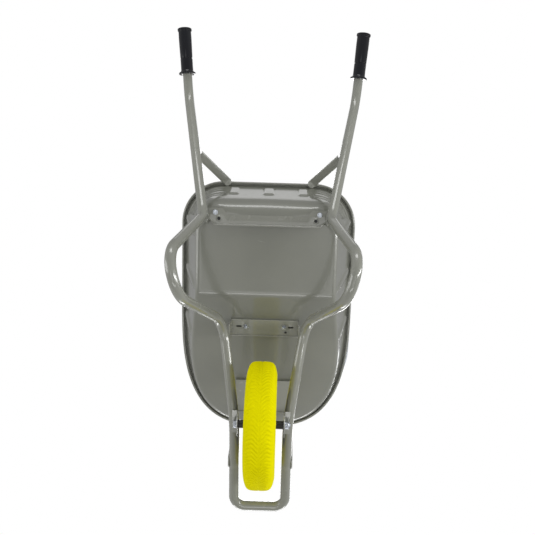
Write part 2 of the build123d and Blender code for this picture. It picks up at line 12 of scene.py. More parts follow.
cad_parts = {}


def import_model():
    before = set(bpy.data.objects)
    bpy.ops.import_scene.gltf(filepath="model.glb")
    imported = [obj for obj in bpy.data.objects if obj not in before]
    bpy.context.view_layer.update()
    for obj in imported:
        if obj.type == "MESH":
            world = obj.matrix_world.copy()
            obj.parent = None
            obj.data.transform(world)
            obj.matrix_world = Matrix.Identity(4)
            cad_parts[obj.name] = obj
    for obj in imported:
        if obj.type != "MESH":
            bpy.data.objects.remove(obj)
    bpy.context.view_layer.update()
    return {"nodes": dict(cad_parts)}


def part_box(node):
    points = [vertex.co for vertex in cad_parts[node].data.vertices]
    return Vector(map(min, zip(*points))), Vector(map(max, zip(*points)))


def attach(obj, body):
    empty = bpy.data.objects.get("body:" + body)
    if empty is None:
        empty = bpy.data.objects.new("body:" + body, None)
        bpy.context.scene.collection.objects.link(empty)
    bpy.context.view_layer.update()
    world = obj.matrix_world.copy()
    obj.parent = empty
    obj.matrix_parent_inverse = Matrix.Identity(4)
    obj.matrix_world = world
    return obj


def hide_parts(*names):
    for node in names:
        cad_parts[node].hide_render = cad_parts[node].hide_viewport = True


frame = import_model()

# ---- sizes and places
TUBE_R = 0.015
SHEET = 0.0015

tyre_low, tyre_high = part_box("tyre")
WHEEL_R = (tyre_high.z - tyre_low.z) / 2
TYRE_HALF = (tyre_high.x - tyre_low.x) / 2
AXLE = (tyre_low + tyre_high) / 2
AXLE_R = 0.006
HEX_R = 0.011
RIM_SEAT_R = 0.098

GRIP_END = Vector((0.295, 0.748, 0.573))
HANDLE_BEND = Vector((0.278, 0.537, 0.568))
KNEE = Vector((0.19, 0.154, 0.29))
FOOT_REAR = Vector((0.247, 0.072, TUBE_R))
FOOT_FRONT = Vector((0.221, -0.041, TUBE_R))
RAIL_TOP = Vector((0.125, -0.16, 0.28))
RAIL_LOW = Vector((0.079, AXLE.y, 0.211))
NOSE_REACH = 0.295
NOSE = Vector((RAIL_LOW.x, AXLE.y - NOSE_REACH, 0.262))
JOINT = RAIL_LOW.lerp(NOSE, 0.15 / NOSE_REACH)
SIDE_BENDS = (0.147, 0.08, 0.079, 0.088, 0.08, 0.3)
NOSE_BEND_R = 0.036
STAY_FOOT_Y = 0.35
STAY_TAB = (0.138, 0.256)

tray_low, tray_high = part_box("tray")
TRAY_HALF = tray_high.x
TRAY_REAR_Y = 0.258
TRAY_LENGTH = 0.856
TRAY_STRAIGHT = 0.426
TRAY_CORNER_R = 0.14
TRAY_POWER = 2.8
RIM_Z = 0.52
RIM_SLOPE = 0.05
FLOOR_Z = tray_low.z
SIDE_LEAN = 0.062
REAR_LEAN = 0.05
FLOOR_BEND_Y = -0.09
FLOOR_BEND_R = 0.07
RIM_FLANGE = 0.011
BEAD_R = 0.0045
FRONT_WALL = 0.025
UNDERCUT = 0.01
SLOPE_END_Y = TRAY_REAR_Y - TRAY_LENGTH + 2 * RIM_FLANGE
SLOPE_END_Z = RIM_Z + RIM_SLOPE * (TRAY_REAR_Y - SLOPE_END_Y) - FRONT_WALL
SLOPE = (SLOPE_END_Z - FLOOR_Z) / (FLOOR_BEND_Y - SLOPE_END_Y)
SLOPE_ANGLE = atan(SLOPE)

BRACE_T = 0.003
REAR_BOLT = Vector((0.158, 0.164, FLOOR_Z))
REAR_HOLE = Vector((0.147, 0.145, FLOOR_Z))
REAR_HOLE_R = 0.005
FRONT_BRACE_Y, FRONT_BRACE_HALF = -0.199, 0.028
FRONT_FIXING_Y, FRONT_BOLT_X, FRONT_SLOT_X = -0.195, 0.06, 0.082
FRONT_SLOT_R, FRONT_SLOT_HALF = 0.0035, 0.009
FRONT_HOLE, FRONT_HOLE_R = (-0.066, -0.213), 0.004
TRAY_BOLT_R = 0.004
BRACKET_X = TYRE_HALF + 0.023
WASHER_X = BRACKET_X + 0.003
WASHER_R, WASHER_T = 0.012, 0.0025

RIGHT, REARWARD, UP = Vector((1, 0, 0)), Vector((0, 1, 0)), Vector((0, 0, 1))


def sided(side, point):
    """A right-hand place for side 1, the same place on the left for side -1."""
    return Vector((side * point[0], point[1], point[2]))


def add_object(name, data):
    """A new object in the scene."""
    made = bpy.data.objects.new(name, data)
    bpy.context.scene.collection.objects.link(made)
    return made


def both_sides(make):
    """Makes the right-hand piece, then the left-hand one."""
    make(1, "right")
    make(-1, "left")


def handle_point(y):
    """The point of the right handle tube's centreline, on its straight run down to the knee."""
    return HANDLE_BEND.lerp(KNEE, (HANDLE_BEND.y - y) / (HANDLE_BEND.y - KNEE.y))


def rail_point(y):
    """The point of the right rail's centreline, on its straight run to the axle."""
    return RAIL_TOP.lerp(RAIL_LOW, (RAIL_TOP.y - y) / (RAIL_TOP.y - RAIL_LOW.y))


def smoothstep(low, high, value):
    """0 below low, 1 above high, with a smooth rise between them."""
    share = min(1.0, max(0.0, (value - low) / (high - low)))
    return share * share * (3 - 2 * share)


def bump_shape(distance, flat, edge):
    """1 inside flat, 0 beyond flat + edge, smooth between: the section of a pressed rib."""
    return 1 - smoothstep(flat, flat + edge, distance)


# ---- material nodes
# Sockets of a colour mix node: its inputs and its output.
MIX_SHARE, MIX_FIRST, MIX_SECOND, MIX_RESULT = 0, 6, 7, 2


def set_inputs(node, values):
    """Gives a node's inputs their constants."""
    for socket, value in values.items():
        node.inputs[socket].default_value = value


def add_node(tree, kind, **values):
    """A new shader node of a kind, with constants on its inputs."""
    node = tree.nodes.new("ShaderNode" + kind)
    set_inputs(node, values)
    return node


def set_stops(ramp, stops):
    """Gives a colour ramp its stops, each a (place, colour)."""
    while len(ramp.elements) < len(stops):
        ramp.elements.new(0.5)
    for element, (place, colour) in zip(ramp.elements, stops):
        element.position = place
        element.color = (*colour, 1)


class Nodes:
    """A material's node tree with short calls for what the finishes share."""

    def __init__(self, name):
        self.material = bpy.data.materials.new(name)
        self.material.use_nodes = True
        self.tree = self.material.node_tree
        self.shader = self.tree.nodes["Principled BSDF"]
        self.place = add_node(self.tree, "TexCoord").outputs["Object"]

    def link(self, output, node, socket):
        """Links an output to an input of a node."""
        self.tree.links.new(output, node.inputs[socket])

    def noise(self, scale, detail, roughness=0.5):
        """Noise in the object's own space, scale in cells per metre."""
        node = add_node(self.tree, "TexNoise", Scale=scale, Detail=detail, Roughness=roughness)
        self.link(self.place, node, "Vector")
        return node.outputs["Fac"]

    def cells(self, scale):
        """Random cells, for the spangle of zinc plating."""
        node = add_node(self.tree, "TexVoronoi", Scale=scale)
        self.link(self.place, node, "Vector")
        return node.outputs["Color"]

    def ramp(self, value, stops):
        """A colour ramp; stops are (place, colour)."""
        node = add_node(self.tree, "ValToRGB")
        set_stops(node.color_ramp, stops)
        self.link(value, node, "Fac")
        return node.outputs["Color"]

    def span(self, value, low, high):
        """Maps 0..1 to low..high."""
        node = add_node(self.tree, "MapRange", **{"To Min": low, "To Max": high})
        self.link(value, node, "Value")
        return node.outputs["Result"]

    def mix(self, share, first, second, blend="MIX"):
        """Mixes two colours by a share; each of the three is an output or a constant."""
        node = add_node(self.tree, "Mix")
        node.data_type = "RGBA"
        node.blend_type = blend
        for socket, value in ((MIX_SHARE, share), (MIX_FIRST, first), (MIX_SECOND, second)):
            if isinstance(value, bpy.types.NodeSocket):
                self.link(value, node, socket)
            else:
                node.inputs[socket].default_value = value
        return node.outputs[MIX_RESULT]

    def edges(self, low, high):
        """Worn outer edges, from the mesh's own curvature."""
        geometry = add_node(self.tree, "NewGeometry")
        return self.ramp(geometry.outputs["Pointiness"], [(low, (0, 0, 0)), (high, (1, 1, 1))])

    def bump(self, height, distance, strength=1.0, under=None):
        """A bump of a height in metres on the shader's normal."""
        node = add_node(self.tree, "Bump", Distance=distance, Strength=strength)
        self.link(height, node, "Height")
        if under is not None:
            self.link(under, node, "Normal")
        self.link(node.outputs["Normal"], self.shader, "Normal")
        return node.outputs["Normal"]


def enamel(name, light, dark, edge, gloss, clear=0.07):
    """Baked enamel: slight tone drift, orange peel, worn edges and a thin gloss of a roughness."""
    n = Nodes(name)
    drift = n.ramp(n.noise(7, 4), [(0.3, dark), (0.7, light)])
    speckle = n.ramp(n.noise(900, 2), [(0.2, (0.86, 0.86, 0.86)), (0.5, (1, 1, 1))])
    blend = n.mix(0.35, drift, speckle, "MULTIPLY")
    n.link(n.mix(n.edges(0.53, 0.62), blend, (*edge, 1)), n.shader, "Base Color")
    n.link(n.span(n.noise(30, 5), gloss - 0.05, gloss + 0.08), n.shader, "Roughness")
    peel = n.bump(n.noise(420, 2), 0.00006)
    n.bump(n.noise(18, 2), 0.0006, 0.6, peel)
    set_inputs(n.shader, {"Specular IOR Level": 0.5, "Coat Weight": 1.0, "Coat Roughness": clear})
    return n.material


def zinc_finish():
    """Bright zinc plating with a fine spangle."""
    n = Nodes("zinc_plate")
    tone = n.ramp(n.cells(700), [(0.0, (0.4, 0.43, 0.48)), (1.0, (0.62, 0.65, 0.69))])
    n.link(tone, n.shader, "Base Color")
    n.link(n.span(n.noise(160, 4), 0.16, 0.38), n.shader, "Roughness")
    n.bump(n.noise(1400, 3), 0.00004)
    set_inputs(n.shader, {"Metallic": 1.0})
    return n.material


def rubber(name, light, dark, rough, grain, depth, shine=0.5):
    """Moulded rubber or foam: soft tone drift and a fine grain; shine is the specular level."""
    n = Nodes(name)
    n.link(n.ramp(n.noise(14, 5), [(0.3, dark), (0.7, light)]), n.shader, "Base Color")
    n.link(n.span(n.noise(60, 4), rough - 0.07, rough + 0.09), n.shader, "Roughness")
    n.bump(n.noise(grain, 4, 0.6), depth)
    set_inputs(n.shader, {"Specular IOR Level": shine})
    return n.material


ENAMEL = enamel("enamel_frame", (0.205, 0.209, 0.178), (0.183, 0.187, 0.158), (0.26, 0.264, 0.232), 0.24)
TRAY_ENAMEL = enamel(
    "enamel_tray", (0.162, 0.166, 0.138), (0.144, 0.148, 0.123), (0.24, 0.244, 0.215), 0.34, 0.1
)
RIM_ENAMEL = enamel("enamel_rim", (0.055, 0.055, 0.058), (0.04, 0.04, 0.043), (0.12, 0.12, 0.12), 0.3)
ZINC = zinc_finish()
TYRE = rubber(
    "foam_tyre_yellow", (0.7, 0.645, 0.0008), (0.64, 0.585, 0.0008), 0.75, 1500, 0.00012, 0.01
)
GRIP = rubber("grip_black", (0.004, 0.005, 0.008), (0.003, 0.003, 0.005), 0.13, 260, 0.0001, 0.35)
NYLON = rubber("nylon_black", (0.012, 0.012, 0.012), (0.007, 0.007, 0.007), 0.42, 1800, 0.00008)


# ---- mesh building
MERGE_DISTANCE = 1e-6
SHARP_ANGLE = 35
BEND_STEPS = 6


def make_piece(name, bm, material, body="frame", replaces=(), sharp=SHARP_ANGLE):
    """Turns a bmesh into a finished piece that rides on a body."""
    bmesh.ops.remove_doubles(bm, verts=bm.verts, dist=MERGE_DISTANCE)
    bmesh.ops.recalc_face_normals(bm, faces=bm.faces)
    mesh = bpy.data.meshes.new(name)
    bm.to_mesh(mesh)
    bm.free()
    mesh.shade_smooth()
    mesh.set_sharp_from_angle(angle=radians(sharp))
    mesh.materials.append(material)
    piece = add_object(name, mesh)
    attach(piece, body)
    if replaces:
        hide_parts(*replaces)
    return piece


def painted(name, bm, *replaces):
    """A piece in the frame's enamel."""
    return make_piece(name, bm, ENAMEL, replaces=replaces)


def loft(bm, sections, closed_route=False):
    """Skins closed sections, one after another, with flat ends on an open route."""
    rings = [[bm.verts.new(point) for point in section] for section in sections]
    count = len(rings[0])
    pairs = list(zip(rings, rings[1:] + rings[:1]))
    for first, second in pairs if closed_route else pairs[:-1]:
        for i in range(count):
            j = (i + 1) % count
            bm.faces.new((first[i], first[j], second[j], second[i]))
    if not closed_route:
        bm.faces.new(rings[0][::-1])
        bm.faces.new(rings[-1])


def rounded(points, radii, steps, closed=False):
    """A polyline with its corners turned into tangent arcs."""
    points = [Vector(p) for p in points]
    if not hasattr(radii, "__len__"):
        radii = [radii] * len(points)
    out = []
    for i, corner in enumerate(points):
        if not closed and i in (0, len(points) - 1):
            out.append(corner)
            continue
        before = points[i - 1] - corner
        after = points[(i + 1) % len(points)] - corner
        half = before.angle(after) / 2
        radius = min(radii[i], 0.49 * min(before.length, after.length) * tan(half))
        reach = radius / tan(half)
        centre = corner + (before.normalized() + after.normalized()).normalized() * (radius / sin(half))
        start = corner + before.normalized() * reach - centre
        end = corner + after.normalized() * reach - centre
        axis = start.cross(end)
        for step in range(steps + 1):
            out.append(centre + Quaternion(axis, start.angle(end) * step / steps) @ start)
    return out


def finely(line, step, least=1):
    """A polyline with points added, about one a step."""
    out = []
    for a, b in zip(line, line[1:]):
        count = max(least, int((b - a).length / step))
        out += [a.lerp(b, i / count) for i in range(count)]
    return [*out, line[-1]]


def flat(points):
    """2-D points as vectors in the XY plane."""
    return [Vector((p[0], p[1], 0)) for p in points]


def strip(points, thickness, bend):
    """The closed section of sheet metal bent along a 2-D polyline."""
    line = rounded(flat(points), bend, BEND_STEPS)
    sides = []
    for i, point in enumerate(line):
        along = (line[min(i + 1, len(line) - 1)] - line[max(i - 1, 0)]).normalized()
        sides.append((point, Vector((-along.y, along.x, 0)) * thickness / 2))
    return [p + n for p, n in sides] + [p - n for p, n in reversed(sides)]


def placed(section, origin, across, up):
    """A 2-D section put in space."""
    return [origin + across * p.x + up * p.y for p in section]


def tube_frames(route, start_across):
    """Frames carried along a route without twist: (point, across, up)."""
    frames = []
    across = Vector(start_across)
    for i, point in enumerate(route):
        along = (route[min(i + 1, len(route) - 1)] - route[max(i - 1, 0)]).normalized()
        across = (across - along * across.dot(along)).normalized()
        frames.append((point, across, along.cross(across)))
    return frames


def circle(radius, count=40):
    """A round section."""
    turns = [2 * pi * i / count for i in range(count)]
    return [Vector((radius * cos(turn), radius * sin(turn), 0)) for turn in turns]


def revolve(bm, profile, origin, axis, across, count=96, shape=None):
    """Turns a closed (along, out) profile about an axis; shape may change each point."""
    axis = axis.normalized()
    up = axis.cross(across)
    sections = []
    for i in range(count):
        turn = 2 * pi * i / count
        spoke = across * cos(turn) + up * sin(turn)
        points = [shape(turn, p) for p in profile] if shape else profile
        sections.append([origin + axis * p[0] + spoke * p[1] for p in points])
    loft(bm, sections, closed_route=True)


def spin_profile(points, radius, steps=4):
    """A closed (along, out) profile with eased corners, as plain pairs."""
    return [(p.x, p.y) for p in rounded(flat(points), radius, steps, closed=True)]


def cut(piece, cutters):
    """Cuts holes in a piece with closed bmeshes."""
    for cutter in cutters:
        mesh = bpy.data.meshes.new("cutter")
        bmesh.ops.recalc_face_normals(cutter, faces=cutter.faces)
        cutter.to_mesh(mesh)
        cutter.free()
        tool = add_object("cutter", mesh)
        modifier = piece.modifiers.new("hole", "BOOLEAN")
        modifier.operation = "DIFFERENCE"
        modifier.solver = "EXACT"
        modifier.object = tool
        bpy.context.view_layer.update()
        graph = bpy.context.evaluated_depsgraph_get()
        made = bpy.data.meshes.new_from_object(piece.evaluated_get(graph))
        piece.modifiers.clear()
        old = piece.data
        piece.data = made
        bpy.data.meshes.remove(old)
        bpy.data.objects.remove(tool)
        bpy.data.meshes.remove(mesh)
    piece.data.shade_smooth()
    piece.data.set_sharp_from_angle(angle=radians(SHARP_ANGLE))


def pin(centre, axis, radius, half):
    """A round cutter."""
    bm = bmesh.new()
    axis = axis.normalized()
    across = axis.orthogonal().normalized()
    up = axis.cross(across)
    loft(bm, [placed(circle(radius, 32), centre + axis * s * half, across, up) for s in (-1, 1)])
    return bm


def weld(bm, points, radius):
    """A rippled weld bead along points, thinner at its two ends."""
    step, taper, ripple, drift = 0.0009, 0.003, 0.13, 0.25
    route = finely(points, step, 2)
    sections = []
    for i, (point, across, up) in enumerate(tube_frames(route, (route[-1] - route[0]).orthogonal())):
        end = min(i, len(route) - 1 - i) * step
        size = radius * min(1.0, 0.25 + end / taper) * (1 + ripple * sin(i * 1.9))
        wobble = noise.noise(point * 300) * radius * drift
        sections.append(placed(circle(size, 10), point + up * wobble, across, up))
    loft(bm, sections)


# ---- frame tubes
SIDE_POINTS = [GRIP_END, HANDLE_BEND, KNEE, FOOT_REAR, FOOT_FRONT, RAIL_TOP, RAIL_LOW, JOINT]


def tube(name, points, bends, node, dents=()):
    """A round tube of smooth bends; dents are (centre, reach, depth) pushed into its skin."""
    bm = bmesh.new()
    step, around = 0.012, 48
    route = finely(rounded(points, [0, *bends, 0], 20), step)
    sections = []
    for point, across, up in tube_frames(route, UP):
        ring = placed(circle(TUBE_R, around), point, across, up)
        for centre, reach, depth in dents:
            ring = [p.lerp(point, depth * exp(-((p - centre).length / reach) ** 2)) for p in ring]
        sections.append(ring)
    loft(bm, sections)
    painted(name, bm, node)


tube("side_tube_right", SIDE_POINTS, SIDE_BENDS, "frame_tube_right")
tube("side_tube_left", [sided(-1, p) for p in SIDE_POINTS], SIDE_BENDS, "frame_tube_left")
DENT_REACH, DENT_DEPTH = 0.006, 0.55
inner_corner = NOSE + Vector((-TUBE_R, TUBE_R, -0.004))
nose_dents = [(sided(side, inner_corner), DENT_REACH, DENT_DEPTH) for side in (1, -1)]
nose_points = [JOINT, NOSE, sided(-1, NOSE), sided(-1, JOINT)]
tube("nose_bow", nose_points, [NOSE_BEND_R] * 2, "nose_tube", nose_dents)


# ---- grips
def grip(side, hand):
    """A moulded grip with an end cap, a seam groove and a hand-stop collar."""
    end = sided(side, GRIP_END)
    axis = (end - sided(side, HANDLE_BEND)).normalized()
    bore, ridge_height, ridge_turn = 0.0152, 0.00025, 0.02
    body = [
        (0.0055, 0.0), (0.0058, 0.01), (0.004, 0.0205), (0.0025, 0.023), (-0.0035, 0.023),
        (-0.0065, 0.0207), (-0.028, 0.0209), (-0.055, 0.0206), (-0.0905, 0.0199),
        (-0.0912, 0.0183), (-0.0926, 0.0183), (-0.0933, 0.0199), (-0.118, 0.0197),
        (-0.131, 0.02), (-0.136, 0.0225), (-0.1375, 0.0265), (-0.139, 0.0275),
        (-0.1425, 0.0275), (-0.1435, 0.0262), (-0.1435, bore), (0.0, bore), (0.0, 0.0),
    ]
    line = [(p.x, p.y) for p in rounded(flat(body), 0.0009, 3)]

    def moulded(turn, point):
        """A faint mould line along the two sides of the grip."""
        ridge = ridge_height * exp(-(sin(turn) / ridge_turn) ** 2)
        return (point[0], point[1] + ridge if point[1] > bore + ridge_height else point[1])

    bm = bmesh.new()
    revolve(bm, line, end, axis, axis.orthogonal().normalized(), 96, moulded)
    make_piece(f"handle_grip_{hand}", bm, GRIP, replaces=[f"grip_{hand}"], sharp=50)


both_sides(grip)


# ---- tray
REAR_COUNT, CORNER_COUNT, SIDE_COUNT, FRONT_COUNT = 42, 42, 96, 150
BEAD_ROWS, NECK_STEPS, WALL_ROWS, CREASE_ROWS, FLOOR_ROWS = 16, 5, 52, 8, 30
CURVE_STEPS = 4000
BEAD_START, BEAD_END = radians(-205), radians(90)
TRAY_INSET = RIM_FLANGE + SHEET / 2 + 0.0008
SIDE_RIBS = (0.122, -0.042, -0.206)
SIDE_RIB_RAKE, SIDE_RIB_HEIGHT = 0.052, 0.0045
REAR_RIBS = (-0.111, 0.0, 0.111)
REAR_RIB_HALF, REAR_RIB_HEIGHT = 0.013, 0.0042
CORNER_FOLDS = (0.2, 0.36, 0.52)
FOLD_DEPTH, CORNER_SWELL = 0.0022, 0.0066
CROWN_HEIGHT, CROWN_HALF = 0.01, 0.2


def half_outline(inset, rear_inset):
    """Plan points from the middle of the rear edge round to the middle of the front."""
    half = TRAY_HALF - inset
    corner = TRAY_CORNER_R - inset
    rear = TRAY_REAR_Y - rear_inset
    reach = TRAY_LENGTH - TRAY_STRAIGHT - inset
    straight = TRAY_REAR_Y - TRAY_STRAIGHT
    points = [((half - corner) * i / REAR_COUNT, rear) for i in range(REAR_COUNT)]
    for i in range(CORNER_COUNT):
        turn = pi / 2 * (1 - i / CORNER_COUNT)
        points.append((half - corner + corner * cos(turn), rear - corner + corner * sin(turn)))
    side_top = rear - corner
    points += [(half, side_top + (straight - side_top) * i / SIDE_COUNT) for i in range(SIDE_COUNT)]
    curve = []
    power = 2 / TRAY_POWER
    for i in range(CURVE_STEPS + 1):
        turn = pi / 2 * i / CURVE_STEPS
        curve.append((half * cos(turn) ** power, straight - reach * sin(turn) ** power))
    curve[-1] = (0.0, straight - reach)
    lengths = [0.0]
    for a, b in zip(curve, curve[1:]):
        lengths.append(lengths[-1] + hypot(b[0] - a[0], b[1] - a[1]))
    index = 0
    for i in range(FRONT_COUNT + 1):
        wanted = lengths[-1] * i / FRONT_COUNT
        while index < CURVE_STEPS - 1 and lengths[index + 1] < wanted:
            index += 1
        share = (wanted - lengths[index]) / max(1e-9, lengths[index + 1] - lengths[index])
        a, b = curve[index], curve[index + 1]
        points.append((a[0] + (b[0] - a[0]) * share, a[1] + (b[1] - a[1]) * share))
    return points


def rim_height(y):
    """Height of the rim plane."""
    return RIM_Z + RIM_SLOPE * (TRAY_REAR_Y - y)


def floor_height(x, y):
    """The middle of the floor sheet: flat, a smooth bend, then the sloping front."""
    reach = FLOOR_BEND_R * tan(SLOPE_ANGLE / 2)
    forward = FLOOR_BEND_Y - y
    if forward <= -reach:
        height = 0.0
    elif forward >= reach * cos(SLOPE_ANGLE):
        height = SLOPE * forward
    else:
        height = FLOOR_BEND_R - (FLOOR_BEND_R**2 - (forward + reach) ** 2) ** 0.5
    crown = CROWN_HEIGHT * smoothstep(-0.1, -0.4, y) * min(1.4, abs(x) / CROWN_HALF) ** 2.5
    return FLOOR_Z + SHEET / 2 + height + crown


def on_floor(point):
    """The same place on the middle of the floor sheet."""
    return Vector((point.x, point.y, floor_height(point.x, point.y)))


def pressing(point, depth):
    """How far the wall is pressed out; depth is 0 at the rim and 1 at the crease."""
    out = 0.0
    if abs(point.x) > 0.15 and point.y < 0.19:
        fade = smoothstep(0.06, 0.16, depth) * (1 - smoothstep(0.86, 0.98, depth))
        half_width = 0.002 + 0.008 * sin(pi * min(1.0, max(0.0, depth)))
        for centre in SIDE_RIBS:
            middle = centre + 0.022 - SIDE_RIB_RAKE * depth
            out += SIDE_RIB_HEIGHT * fade * bump_shape(abs(point.y - middle), half_width, 0.006)
    if point.y > 0.15:
        length = smoothstep(0.22, 0.27, depth) * bump_shape(depth, 0.7, 0.05)
        for centre in REAR_RIBS:
            out += REAR_RIB_HEIGHT * bump_shape(abs(point.x - centre), REAR_RIB_HALF, 0.004) * length
        corner = smoothstep(0.128, 0.15, abs(point.x)) * smoothstep(0.135, 0.165, point.y)
        for edge in CORNER_FOLDS:
            out -= FOLD_DEPTH * corner * smoothstep(edge, edge + 0.03, depth)
        out += CORNER_SWELL * corner * smoothstep(0.6, 0.95, depth)
    return out


def tray_column(top, low, outward):
    """A line of the tray's middle surface, from the rolled edge down to the middle of the floor."""
    x, y = top
    rim = Vector((x, y, rim_height(y)))
    under = Vector((low[0], low[1], FLOOR_Z - UNDERCUT))
    wall_dir = (under - rim).normalized()
    low_share, high_share = 0.0, 1.0
    for _ in range(30):
        share = (low_share + high_share) / 2
        here = rim.lerp(under, share)
        if here.z > floor_height(here.x, here.y):
            low_share = share
        else:
            high_share = share
    crease = rim.lerp(under, low_share)
    middle = on_floor(Vector((0, min(0.075, max(-0.4, crease.y)), 0)))
    ahead = on_floor(crease.lerp(middle, 0.12))
    reach = 0.011 + 0.042 * smoothstep(0.1, 0.17, crease.y)
    reach = min(reach, 0.6 * (crease - rim).length)

    centre = rim - UP * BEAD_R + outward * (RIM_FLANGE + SHEET - BEAD_R)
    roll = BEAD_R - SHEET / 2
    column = []
    for i in range(BEAD_ROWS):
        turn = BEAD_START + (BEAD_END - BEAD_START) * i / (BEAD_ROWS - 1)
        column.append(centre + (outward * cos(turn) + UP * sin(turn)) * roll)
    neck = rim - UP * (SHEET / 2)
    column += rounded([column[-1], neck, neck + wall_dir * 0.02], 0.003, NECK_STEPS)[1:-1]
    neck_end = column[-1]
    wall_end = crease - wall_dir * reach
    for i in range(1, WALL_ROWS + 1):
        column.append(neck_end.lerp(wall_end, i / WALL_ROWS))
    floor_start = on_floor(crease + (ahead - crease).normalized() * reach)
    for i in range(1, CREASE_ROWS + 1):
        t = i / CREASE_ROWS
        column.append(wall_end * (1 - t) ** 2 + crease * 2 * t * (1 - t) + floor_start * t * t)
    for i in range(1, FLOOR_ROWS + 1):
        column.append(on_floor(floor_start.lerp(middle, i / FLOOR_ROWS)))
    return column


def build_tray():
    """The pressed tray with its rolled edge, ribs and folds, as a sheet of even thickness."""
    deeper = 1 + UNDERCUT / (RIM_Z - FLOOR_Z)
    tops = half_outline(TRAY_INSET, TRAY_INSET)
    lows = half_outline(TRAY_INSET + SIDE_LEAN * deeper, TRAY_INSET + REAR_LEAN * deeper)
    columns = []
    for i, (top, low) in enumerate(zip(tops, lows)):
        before, after = tops[max(i - 1, 0)], tops[min(i + 1, len(tops) - 1)]
        along = Vector((after[0] - before[0], after[1] - before[1], 0)).normalized()
        if i in (0, len(tops) - 1):
            along = Vector((1 if i == 0 else -1, 0, 0))
        columns.append(tray_column(top, low, Vector((-along.y, along.x, 0))))
    columns += [[sided(-1, p) for p in column] for column in columns[-2:0:-1]]
    first_wall = BEAD_ROWS + NECK_STEPS + 1
    pressed = []
    for index, column in enumerate(columns):
        nearby = columns[(index + 1) % len(columns)]
        behind = columns[index - 1]
        line = list(column)
        for row in range(first_wall, first_wall + WALL_ROWS):
            depth = (row - first_wall) / WALL_ROWS
            across = (nearby[row] - behind[row]).normalized()
            down = (column[row + 1] - column[row - 1]).normalized()
            normal = across.cross(down).normalized()
            if normal.dot(Vector((column[row].x, column[row].y + 0.1, 0))) < 0:
                normal = -normal
            line[row] = column[row] + normal * pressing(column[row], depth)
        pressed.append(line)
    bm = bmesh.new()
    grid = [[bm.verts.new(p) for p in column] for column in pressed]
    for one, two in zip(grid, grid[1:] + grid[:1]):
        for row in range(len(one) - 1):
            bm.faces.new((one[row], one[row + 1], two[row + 1], two[row]))
    piece = make_piece("tray_shell", bm, TRAY_ENAMEL, replaces=["tray"], sharp=60)
    solid = piece.modifiers.new("sheet", "SOLIDIFY")
    solid.thickness = SHEET
    solid.offset = 0
    solid.use_even_offset = True


build_tray()


# ---- braces and stays
def slope_frame(x, y):
    """A point on the underside of the sloping front, with the slope's own axes."""
    origin = Vector((x, y, FLOOR_Z + SLOPE * (FLOOR_BEND_Y - y)))
    uphill = Vector((0, -cos(SLOPE_ANGLE), sin(SLOPE_ANGLE)))
    into = Vector((0, sin(SLOPE_ANGLE), cos(SLOPE_ANGLE)))
    return origin, uphill, into


def lipped_plate(y, half_y, half_x, lips, bend):
    """A plate across the slope with lips turned down along its lower and upper edges."""
    origin, uphill, into = slope_frame(0, y)
    half = half_y / cos(SLOPE_ANGLE)
    line = [(-half, -lips[0]), (-half, -BRACE_T / 2), (half, -BRACE_T / 2), (half, -lips[1])]
    section = strip(line, BRACE_T, bend)
    bm = bmesh.new()
    loft(bm, [placed(section, origin + RIGHT * x, uphill, into) for x in (-half_x, half_x)])
    return bm


def rear_brace():
    """The rear cross brace: a flat web under the floor, a lip along its front and wide ears."""
    bm = bmesh.new()
    end_x = KNEE.x - TUBE_R / 2
    top = FLOOR_Z - 0.0002
    radii = [0.0006, 0.005, 0.0001, 0.0001, 0.03, 0.003, 0.0006]
    count = 120
    sections = []
    for i in range(count + 1):
        x = -end_x + 2 * end_x * i / count
        away = abs(x)
        front = 0.125 + 0.85 * max(0.0, away - 0.158)
        rear = 0.158 + 0.019 * smoothstep(0.119, 0.138, away)
        lip = 0.014 - 0.006 * smoothstep(0.15, 0.18, away)
        line = [
            (front, top - lip), (front, top), (rear, top), (rear, top - 0.0005),
            (rear - 0.02, top - BRACE_T), (front + BRACE_T, top - BRACE_T), (front + BRACE_T, top - lip),
        ]
        section = rounded(flat(line), radii, BEND_STEPS, closed=True)
        sections.append([Vector((x, p.x, p.y)) for p in section])
    loft(bm, sections)
    for side in (-1, 1):
        post = strip([(0.132, FLOOR_Z - BRACE_T), (0.132, KNEE.z + 0.004)], BRACE_T, 0.001)
        wide = [Vector((side * end_x, 0.134 + 0.04 * (p.x - 0.1305) / BRACE_T, p.y)) for p in post]
        loft(bm, [wide, [p - RIGHT * side * BRACE_T for p in wide]])
    piece = painted("rear_brace", bm, "rear_cross_brace")
    cut(piece, [pin(sided(side, REAR_HOLE), UP, REAR_HOLE_R, 0.02) for side in (-1, 1)])
    rings = bmesh.new()
    collar = [(0.0008, 0.0051), (-0.0012, 0.0051), (-0.0012, 0.0072), (0.0008, 0.0105)]
    for side in (-1, 1):
        spot = sided(side, REAR_HOLE) - UP * (BRACE_T + 0.0002)
        revolve(rings, spin_profile(collar, 0.0005), spot, UP, RIGHT, 48)
    painted("rear_brace_collars", rings)


